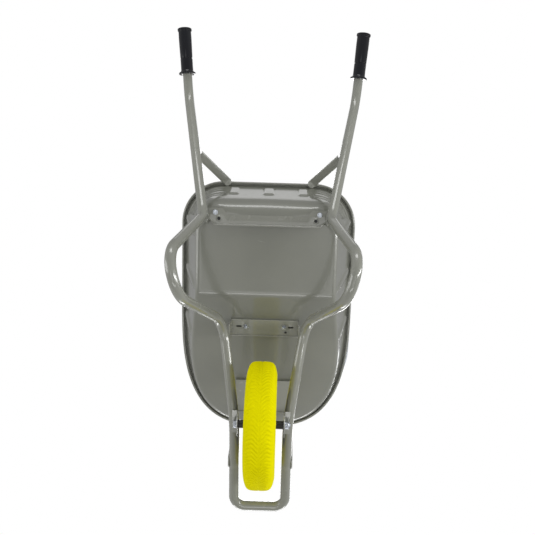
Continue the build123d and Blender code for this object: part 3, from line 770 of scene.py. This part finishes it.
def front_brace():
    """The front cross brace: a channel across the sloping front, with slots and legs to the rails."""
    ends_y = (FRONT_BRACE_Y - FRONT_BRACE_HALF, FRONT_BRACE_Y + FRONT_BRACE_HALF)
    leg_x = rail_point(ends_y[0]).x - TUBE_R / 2
    bm = lipped_plate(FRONT_BRACE_Y, FRONT_BRACE_HALF, leg_x, (0.005, 0.005), 0.0035)
    tops = [slope_frame(0, y)[0] - UP * 0.001 for y in ends_y]
    lows = [Vector((0, y, rail_point(y).z)) for y in ends_y]
    outline = rounded([*tops, *reversed(lows)], 0.004, 4, closed=True)
    for side in (-1, 1):
        loft(bm, [[p + RIGHT * side * (leg_x - o) for p in outline] for o in (0, BRACE_T)])
    piece = painted("front_brace", bm, "front_cross_brace")
    _, uphill, into = slope_frame(0, 0)
    x, y = FRONT_SLOT_HALF, FRONT_SLOT_R
    oval = rounded(flat([(-x, -y), (x, -y), (x, y), (-x, y)]), FRONT_SLOT_R, 8, True)
    cutters = []
    for side in (-1, 1):
        spot = slope_frame(side * FRONT_SLOT_X, FRONT_FIXING_Y)[0]
        cutter = bmesh.new()
        loft(cutter, [placed(oval, spot + into * h, RIGHT, uphill) for h in (-0.012, 0.012)])
        cutters.append(cutter)
    cutters.append(pin(slope_frame(*FRONT_HOLE)[0], into, FRONT_HOLE_R, 0.012))
    cut(piece, cutters)


def nose_plate():
    """The plate between tray front and nose stays, its edges turned down a little."""
    bm = lipped_plate(-0.463, 0.065, RAIL_LOW.x + TUBE_R, (0.0075, 0.006), 0.004)
    painted("nose_plate_pressing", bm, "nose_plate")


def nose_stay(side, hand):
    """A flat bar from the nose plate down the outside of the nose tube."""
    half, low_y, top_y = 0.016, -0.588, -0.512
    outline = rounded([
        Vector((0, low_y - half, JOINT.z)),
        Vector((0, low_y - half / 2, JOINT.z - TUBE_R / 2)),
        Vector((0, low_y + half, JOINT.z - TUBE_R / 2)),
        slope_frame(0, top_y + half)[0],
        slope_frame(0, top_y - half)[0],
    ], 0.004, 5, closed=True)
    middle = sum(outline, Vector()) / len(outline)
    ease, thick = 0.0006, 0.0035
    eased = [p + (middle - p).normalized() * ease for p in outline]
    x = RAIL_LOW.x + TUBE_R
    bm = bmesh.new()
    layers = ((eased, 0.0), (outline, ease), (outline, thick - ease), (eased, thick))
    loft(bm, [[p + RIGHT * side * (x + o) for p in ring] for ring, o in layers])
    painted(f"nose_bar_{hand}", bm, f"nose_stay_{hand}")


def rear_stay(side, hand):
    """A pressed channel from the handle tube to a flat rounded tab under the rim."""
    half, thick = 0.0125, 0.0018
    foot = handle_point(STAY_FOOT_Y)
    tab = Vector((*STAY_TAB, rim_height(STAY_TAB[1]) - 0.0128))
    toward = (foot - tab).normalized()
    plan = Vector((toward.x, toward.y, 0)).normalized()
    points = [tab - plan * 0.012, tab + plan * 0.004, foot]
    route = finely(rounded(points, [0, 0.03, 0], 10), 0.004)[:-1]
    total = sum((b - a).length for a, b in zip(route, route[1:]))
    walked, sections = 0.0, []
    for i, point in enumerate(route):
        walked += (point - route[i - 1]).length if i else 0.0
        if walked > total - TUBE_R:
            break
        width = max(0.0022, half * (1 - max(0.0, 1 - walked / half) ** 2) ** 0.5)
        depth = 0.0022 + 0.0068 * smoothstep(0.022, 0.045, walked)
        along = (route[min(i + 1, len(route) - 1)] - route[max(i - 1, 0)]).normalized()
        across = along.cross(UP).normalized()
        up = across.cross(along).normalized()
        bend = min(0.0028, width * 0.4, depth * 0.6)
        line = [(-width, depth), (-width, 0), (width, 0), (width, depth)]
        section = placed(strip(line, thick, bend), point, across, up)
        sections.append([sided(side, p) for p in section])
    bm = bmesh.new()
    loft(bm, sections)
    painted(f"tray_stay_{hand}", bm, f"rear_stay_{hand}")


def hole_shade_fills():
    """Black fills sunk in the unused holes and slots of the two braces: painted shade for the dark
    inside the holes, not real plugs.
    """
    bm = bmesh.new()
    gap = 0.0001
    _, uphill, into = slope_frame(0, 0)
    stretch = FRONT_SLOT_HALF - FRONT_SLOT_R
    spots = [(sided(side, REAR_HOLE), UP, REARWARD, 0.0, REAR_HOLE_R) for side in (-1, 1)]
    for side in (-1, 1):
        slot = slope_frame(side * FRONT_SLOT_X, FRONT_FIXING_Y)[0]
        spots.append((slot, into, uphill, stretch, FRONT_SLOT_R))
    spots.append((slope_frame(*FRONT_HOLE)[0], into, uphill, 0.0, FRONT_HOLE_R))
    for spot, normal, along, half, radius in spots:
        across = along.cross(normal).normalized()
        ring = [p + RIGHT * (half if p.x > 0 else -half) for p in circle(radius - gap, 33)]
        loft(bm, [placed(ring, spot - normal * h, across, along) for h in (gap, BRACE_T * 0.6)])
    # The black nylon on these fills is painted shade, darkening the holes where only shadow would be.
    make_piece("brace_hole_shade_fills", bm, NYLON)


rear_brace()
front_brace()
hole_shade_fills()
nose_plate()
both_sides(nose_stay)
both_sides(rear_stay)


# ---- fasteners
def hexagon(radius):
    """The corners of a hexagon with slightly eased points."""
    corners = [(radius * cos(pi / 3 * i), radius * sin(pi / 3 * i)) for i in range(6)]
    return rounded(flat(corners), radius * 0.06, 2, closed=True)


def hex_body(bm, origin, axis, across, radius, height, bore=0.0):
    """A hexagon head or nut with chamfered corners."""
    up = axis.cross(across)
    section = hexagon(radius)
    inner = radius * 0.866
    chamfer = height * 0.14

    def ring(limit, at):
        """The hexagon at a height, with its corners held inside a radius."""
        return placed([p * min(1.0, limit / p.length) for p in section], origin + axis * at, across, up)

    layers = [ring(inner, 0), ring(radius, chamfer), ring(radius, height - chamfer), ring(inner, height)]
    if bore:
        hole = circle(bore, len(section))
        layers += [placed(hole, origin + axis * at, across, up) for at in (height, 0)]
        loft(bm, layers, closed_route=True)
    else:
        loft(bm, layers)


def threaded(bm, origin, axis, across, radius, start, end, pitch):
    """A threaded shank end."""
    up = axis.cross(across)
    around, thread_depth, end_taper = 32, 0.0006, 0.12
    rows = max(8, int(abs(end - start) / pitch * 8))
    sections = []
    for i in range(rows + 1):
        at = start + (end - start) * i / rows
        ring = []
        for j in range(around):
            turn = 2 * pi * j / around
            phase = (abs(at) / pitch - j / around) % 1
            size = radius - thread_depth * abs(2 * phase - 1)
            size *= 1 - end_taper * smoothstep(abs(end) - 0.0012, abs(end), abs(at))
            ring.append(origin + axis * at + (across * cos(turn) + up * sin(turn)) * size)
        sections.append(ring)
    loft(bm, sections)


def domed(bm, origin, axis, across, radius, height):
    """A rivet head on a plane, domed away from it."""
    steps, edge = 8, 0.22
    points = [(0.0, 0.0), (0.0, radius), (height * edge, radius)]
    for i in range(1, steps + 1):
        turn = pi / 2 * i / steps
        points.append((height * (edge + (1 - edge) * sin(turn)), radius * cos(turn)))
    revolve(bm, points, origin, axis, across, 48)


def tray_fasteners(label, spots, into):
    """Countersunk bolts through the tray with nuts and washers below it."""
    bolts, nuts = bmesh.new(), bmesh.new()
    washer, bore, washer_r, nut_r, nut_height = 0.001, 0.0042, 0.0076, 0.0065, 0.0055
    head = [(0.0003, 0.0), (0.0003, 0.0074), (0.0, 0.008), (-0.004, 0.004), (-0.004, 0.0)]
    ring = spin_profile([(0, bore), (0, washer_r), (washer, washer_r), (washer, bore)], 0.0003)
    for origin in spots:
        revolve(bolts, head, origin + into * SHEET, into, RIGHT, 48)
        under = origin - into * BRACE_T
        across = into.cross(RIGHT)
        threaded(bolts, origin, -into, across, TRAY_BOLT_R, -SHEET, BRACE_T + 0.0095, 0.0012)
        revolve(nuts, ring, under, -into, RIGHT, 40)
        hex_body(nuts, under - into * washer, -into, RIGHT, nut_r, nut_height, 0.0041)
    make_piece(f"tray_screws_{label}", bolts, ZINC, replaces=[f"tray_bolts_{label}"])
    make_piece(f"tray_hexnuts_{label}", nuts, ZINC, replaces=[f"tray_nuts_{label}"])


tray_fasteners("rear", [sided(side, REAR_BOLT) for side in (-1, 1)], UP)
front_spots = [slope_frame(side * FRONT_BOLT_X, FRONT_FIXING_Y)[0] for side in (-1, 1)]
tray_fasteners("front", front_spots, slope_frame(0, 0)[2])


# ---- axle
def axle_bracket(side, hand):
    """A pressed angle: a flange welded under the rail and a leg down to the axle."""
    bm = bmesh.new()
    half, thick, drop, corner, rows = 0.034, 0.003, 0.017, 0.009, 40
    rail_rise = atan((RAIL_TOP.z - RAIL_LOW.z) / (RAIL_TOP.y - RAIL_LOW.y))
    nose_rise = atan((NOSE.z - RAIL_LOW.z) / (RAIL_LOW.y - NOSE.y))
    top = RAIL_LOW.z + SIDE_BENDS[-1] * (1 / cos((rail_rise + nose_rise) / 2) - 1) - TUBE_R
    x = BRACKET_X + thick / 2
    section = strip([(x, AXLE.z - drop), (x, top), (BRACKET_X + 0.018, top)], thick, 0.0035)
    sections = []
    for i in range(rows + 1):
        y = -half + 2 * half * i / rows
        edge = max(0.0, 1 - (half - abs(y)) / corner)
        low = AXLE.z - drop + corner * (1 - (1 - edge**2) ** 0.5)
        sections.append([Vector((side * p.x, AXLE.y + y, max(p.y, low))) for p in section])
    loft(bm, sections)
    painted(f"axle_plate_{hand}", bm, f"axle_bracket_{hand}")


def axle_fasteners():
    """The axle bolt with its head on the right, its nut on the left and a washer under each."""
    head_x = WASHER_X + WASHER_T
    bolt = bmesh.new()
    hex_body(bolt, AXLE + RIGHT * head_x, RIGHT, UP, HEX_R, 0.0075)
    shank = (-BRACKET_X, head_x + 0.0001)
    loft(bolt, [placed(circle(AXLE_R, 48), AXLE + RIGHT * x, REARWARD, UP) for x in shank])
    threaded(bolt, AXLE, -RIGHT, UP, AXLE_R, BRACKET_X - 0.001, WASHER_X + 0.0165, 0.00175)
    make_piece("axle_screw", bolt, ZINC, replaces=["axle_bolt"])
    nut = bmesh.new()
    hex_body(nut, AXLE - RIGHT * head_x, -RIGHT, UP, HEX_R, 0.01, AXLE_R)
    make_piece("axle_hexnut", nut, ZINC, replaces=["axle_nut"])
    washers = bmesh.new()
    ring = spin_profile([(0, AXLE_R), (0, WASHER_R), (WASHER_T, WASHER_R), (WASHER_T, AXLE_R)], 0.0004)
    for side in (-1, 1):
        revolve(washers, ring, AXLE + RIGHT * side * WASHER_X, RIGHT * side, UP, 64)
    make_piece("axle_rings", washers, ZINC, replaces=["axle_washers"])


def spacer(side, hand):
    """A nylon spacer tube with a shallow waist and eased ends."""
    start, end, outer, waist, band = 0.039, BRACKET_X, 0.0122, 0.0117, 0.004
    profile = [
        (start, AXLE_R), (start, outer), (start + band, outer), (start + band + 0.001, waist),
        (end - band - 0.001, waist), (end - band, outer), (end, outer), (end, AXLE_R),
    ]
    bm = bmesh.new()
    revolve(bm, spin_profile(profile, 0.0006), AXLE, RIGHT * side, UP, 64)
    make_piece(f"axle_sleeve_{hand}", bm, NYLON, replaces=[f"axle_spacer_{hand}"])


both_sides(axle_bracket)
axle_fasteners()
both_sides(spacer)


# ---- wheel
TREAD_COUNT, TREAD_STEPS = 96, 12
GROOVE_DEPTH, CENTRE_DEPTH, CENTRE_HALF = 0.002, 0.0012, 0.0013
SIDE_RINGS_R = (0.157, 0.126)
SIDE_RING_HALF, SIDE_RING_SHARE = 0.0012, 0.01
RIVET_COUNT, RIVET_CIRCLE_R, RIVET_R, RIVET_HEIGHT = 6, 0.044, 0.006, 0.003
DISC_FACE = 0.002


def tyre_profile():
    """Half of the tyre's outer section as (x, r), a smooth spline from bead to crown."""
    crown_edge = Vector((0.027, WHEEL_R - 0.0022, 0))
    bead = (0.0348, RIM_SEAT_R + 0.0092)
    controls = flat([bead, (0.0395, 0.118), (TYRE_HALF, 0.143), (0.0385, 0.1685)])
    controls += [crown_edge, Vector((0.0, WHEEL_R, 0)), Vector((-crown_edge.x, crown_edge.y, 0))]
    points = [controls[0]]
    steps = 12
    for i in range(len(controls) - 2):
        p0 = controls[max(i - 1, 0)]
        p1, p2, p3 = controls[i:i + 3]
        for j in range(1, steps + 1):
            t = j / steps
            points.append(0.5 * (
                2 * p1 + (p2 - p0) * t + (2 * p0 - 5 * p1 + 4 * p2 - p3) * t * t
                + (3 * p1 - p0 - 3 * p2 + p3) * t**3
            ))
    return points


def tread_depth(turn, x, radius):
    """How far the tread is cut in at a place: wavy cross grooves and a middle line."""
    away = abs(x)
    wave = 0.5 * cos(away / 0.0062) - 0.3 * away / 0.016
    phase = (turn * TREAD_COUNT / (2 * pi) + wave) % 1
    groove = exp(-((phase - 0.5) / 0.2) ** 2)
    zone = smoothstep(0.166, 0.172, radius) * smoothstep(0.0012, 0.0045, away)
    return GROOVE_DEPTH * groove * zone + CENTRE_DEPTH * exp(-((away / CENTRE_HALF) ** 2))


def build_tyre():
    """The foam tyre: wavy cross grooves over the crown and rings on its sides."""
    half = tyre_profile()
    outline = half + [Vector((-p.x, p.y, 0)) for p in half[-2::-1]]
    seat = [(-0.0328, RIM_SEAT_R + 0.0002), (0.0, RIM_SEAT_R - 0.0078), (0.0328, RIM_SEAT_R + 0.0002)]
    count = TREAD_COUNT * TREAD_STEPS
    bm = bmesh.new()
    sections = []
    for i in range(count):
        turn = 2 * pi * i / count
        spoke = REARWARD * cos(turn) + UP * sin(turn)
        ring = []
        for p in outline:
            rings = sum(exp(-((p.y - r) / SIDE_RING_HALF) ** 2) for r in SIDE_RINGS_R)
            x = p.x * (1 - SIDE_RING_SHARE * rings)
            ring.append(AXLE + RIGHT * x + spoke * (p.y - tread_depth(turn, p.x, p.y)))
        ring += [AXLE + RIGHT * x + spoke * r for x, r in seat]
        sections.append(ring)
    loft(bm, sections, closed_route=True)
    make_piece("tyre_moulding", bm, TYRE, "wheel", ["tyre"], sharp=50)


def rim_half(side, hand):
    """A pressed wheel half: disc with a stiffening ring and six pockets, dish, seat and lip."""
    lip, raised = RIM_SEAT_R + 0.0088, 0.0045
    disc = [
        (0.0, 0.016), (0.0, 0.0895), (0.0328, RIM_SEAT_R - 0.0002), (0.0348, lip), (0.0368, lip),
        (0.0348, RIM_SEAT_R - 0.002), (0.006, 0.0872), (DISC_FACE, 0.085), (DISC_FACE, 0.062),
        (raised, 0.059), (raised, 0.056), (DISC_FACE, 0.053), (DISC_FACE, 0.03),
        (0.004, 0.027), (0.004, 0.016),
    ]

    def pockets(turn, point):
        """Shallow dishes between the rivets."""
        along, out = point
        if 0.0015 < along < 0.006 and 0.062 < out < 0.085:
            dish = max(0.0, cos(RIVET_COUNT * turn)) ** 0.5
            along += 0.0016 * dish * bump_shape(abs(out - 0.0735), 0.006, 0.004)
        return (along, out)

    bm = bmesh.new()
    revolve(bm, spin_profile(disc, 0.0011), AXLE, RIGHT * side, UP, 180, pockets)
    make_piece(f"wheel_half_{hand}", bm, RIM_ENAMEL, "wheel", [f"rim_half_{hand}"])


def rim_rivets():
    """A ring of rivets through both wheel halves, headed on both sides."""
    bm = bmesh.new()
    for index in range(RIVET_COUNT):
        turn = 2 * pi / RIVET_COUNT * index
        spot = AXLE + (REARWARD * cos(turn) + UP * sin(turn)) * RIVET_CIRCLE_R
        for side in (-1, 1):
            domed(bm, spot + RIGHT * side * DISC_FACE, RIGHT * side, UP, RIVET_R, RIVET_HEIGHT)
    make_piece("wheel_rivets", bm, ZINC, "wheel", ["rim_rivets"])


build_tyre()
both_sides(rim_half)
rim_rivets()


# ---- welds
def build_welds():
    """Weld beads where the braces, stays and brackets meet the tubes."""
    foot = handle_point(STAY_FOOT_Y)
    inward = (Vector((*STAY_TAB, RIM_Z)) - foot).normalized()
    along = (HANDLE_BEND - KNEE).normalized()
    stay = foot + inward * (TUBE_R + 0.0006)
    # Each bead: where it starts, how it runs, its radius.
    beads = []
    for lift in (-0.0035, 0.0035):
        beads.append((stay - along * 0.013 + UP * lift, along * 0.026, 0.0018))
    for x in (BRACKET_X + 0.006, BRACKET_X + 0.0175):
        beads.append((Vector((x, AXLE.y - 0.026, RAIL_LOW.z - 0.0075)), REARWARD * 0.052, 0.0017))
    knee = KNEE + Vector((-0.0125, 0, 0.0095))
    beads.append((Vector((knee.x, 0.137, knee.z)), Vector((0.001, 0.032, 0.004)), 0.0019))
    bar = Vector((RAIL_LOW.x + TUBE_R - 0.0004, -0.6, JOINT.z - 0.0085))
    beads.append((bar, Vector((0, 0.024, -0.002)), 0.0016))
    bm = bmesh.new()
    for side in (-1, 1):
        for start, reach, radius in beads:
            weld(bm, [sided(side, start), sided(side, start + reach)], radius)
    make_piece("weld_beads", bm, ENAMEL, sharp=60)


build_welds()

# ---- finishes of the CAD nodes that stay in sight
kept = {"rim_wire": ZINC, "hub_tube": ZINC, "hub_bush_left": NYLON, "hub_bush_right": NYLON}
for node, material in kept.items():
    data = frame["nodes"][node].data
    data.materials.clear()
    data.materials.append(material)


# ---- studio
def mix_shaders(tree, share, first, second, output):
    """Feeds an output node with a mix of two shaders."""
    mix = add_node(tree, "MixShader")
    for socket, source in enumerate((share, first.outputs[0], second.outputs[0])):
        tree.links.new(source, mix.inputs[socket])
    tree.links.new(mix.outputs[0], tree.nodes[output].inputs["Surface"])


def floor():
    """A pale floor that is seen from above only; seen from below it lets everything through."""
    bm = bmesh.new()
    half, below = 3.4, 0.0003
    plan = ((-half, -half), (half, -half), (half, half), (-half, half))
    bm.faces.new([bm.verts.new((x, y, -below)) for x, y in plan])
    mesh = bpy.data.meshes.new("studio_floor")
    bm.to_mesh(mesh)
    bm.free()
    material = bpy.data.materials.new("floor_paint")
    material.use_nodes = True
    tree = material.node_tree
    shader = tree.nodes["Principled BSDF"]
    set_inputs(shader, {
        "Base Color": (0.82, 0.82, 0.81, 1), "Roughness": 0.75,
        "Emission Color": (1, 1, 0.99, 1), "Emission Strength": 0.32,
    })
    facing = add_node(tree, "NewGeometry")
    clear = add_node(tree, "BsdfTransparent")
    mix_shaders(tree, facing.outputs["Backfacing"], shader, clear, "Material Output")
    mesh.materials.append(material)
    piece = add_object("studio_floor", mesh)
    piece.visible_shadow = False
    piece.visible_diffuse = False
    piece.visible_glossy = False


def world():
    """White to the camera; to everything else a soft studio, in rings round a dark spot below."""
    made = bpy.data.worlds.new("studio")
    bpy.context.scene.world = made
    made.use_nodes = True
    tree = made.node_tree
    soft = tree.nodes["Background"]
    toward = add_node(tree, "TexCoord")
    aim = add_node(tree, "VectorMath")
    aim.operation = "DOT_PRODUCT"
    aim.inputs[1].default_value = Vector((0.024, -0.119, -0.99)).normalized()
    tree.links.new(toward.outputs["Generated"], aim.inputs[0])
    spread = add_node(tree, "MapRange", **{"From Min": 1.0, "From Max": -1.0})
    tree.links.new(aim.outputs["Value"], spread.inputs["Value"])
    ramp = add_node(tree, "ValToRGB")
    tones = (
        (0.0, 0.0), (0.0016, 0.0), (0.0032, 1.6), (0.009, 1.7), (0.018, 0.5),
        (0.2, 0.56), (0.32, 0.66), (0.55, 0.68), (0.85, 0.38), (1.0, 0.28),
    )
    set_stops(ramp.color_ramp, [(place, (tone, tone, tone)) for place, tone in tones])
    tree.links.new(spread.outputs["Result"], ramp.inputs["Fac"])
    tree.links.new(ramp.outputs["Color"], soft.inputs["Color"])
    white = add_node(tree, "Background", Color=(1, 1, 1, 1))
    ray = add_node(tree, "LightPath")
    mix_shaders(tree, ray.outputs["Is Camera Ray"], soft, white, "World Output")


def camera():
    """Below the barrow, looking up at its underside."""
    data = bpy.data.cameras.new("view_from_below")
    data.sensor_width, data.lens = 36.0, 42.13
    data.shift_x, data.shift_y = -0.0241, 0.0004
    made = add_object("view_from_below", data)
    tilt, roll, place = 0.13, 0.03, (-0.0437, 0.2483, -1.5722)
    turned = Matrix.Rotation(roll, 3, "Z") @ Matrix.Rotation(tilt, 3, "X")
    flip = Matrix(((-1, 0, 0), (0, -1, 0), (0, 0, 1)))
    right, down, ahead = (flip @ turned.row[i].to_3d() for i in range(3))
    turn = Matrix((right, -down, -ahead)).transposed()
    made.matrix_world = Matrix.Translation(place) @ turn.to_4x4()
    data.clip_start, data.clip_end = 0.05, 100
    bpy.context.scene.camera = made


floor()
world()
camera()
# Softboxes that the camera doesn't see: name, place, target, width, height, watts.
for name, place, target, width, height, power in (
    ("strip_left", (-2.2, 0.1, -0.75), (0, 0, 0.35), 0.35, 2.6, 36),
    ("strip_right", (2.3, 0.1, -0.35), (0, 0, 0.35), 1.0, 2.4, 18),
    ("fill_front", (0.0, -2.4, 0.7), (0, -0.2, 0.4), 1.8, 0.5, 16),
    ("bend_line", (0.0, -1.05, -1.75), (0, -0.1, 0.33), 1.6, 0.26, 4.5),
    ("fill_rear", (0.0, 2.6, -0.5), (0, 0.2, 0.4), 1.8, 0.6, 16),
    ("rear_high", (0.0, 1.5, 2.6), (0, 0.22, 0.42), 1.8, 1.2, 4.5),
    ("key_top", (-0.3, -1.2, 3.2), (0, 0, 0.3), 2.2, 2.2, 55),
    ("top_fill", (0.0, 0.1, 3.8), (0, 0, 0.3), 1.2, 1.2, 22),
):
    softbox = bpy.data.lights.new(name, "AREA")
    softbox.shape = "RECTANGLE"
    softbox.size, softbox.size_y, softbox.energy = width, height, power
    lamp = add_object(name, softbox)
    lamp.location = place
    lamp.rotation_euler = (Vector(target) - Vector(place)).to_track_quat("-Z", "Y").to_euler()
    lamp.visible_camera = False

bpy.context.scene.view_settings.view_transform = "Standard"
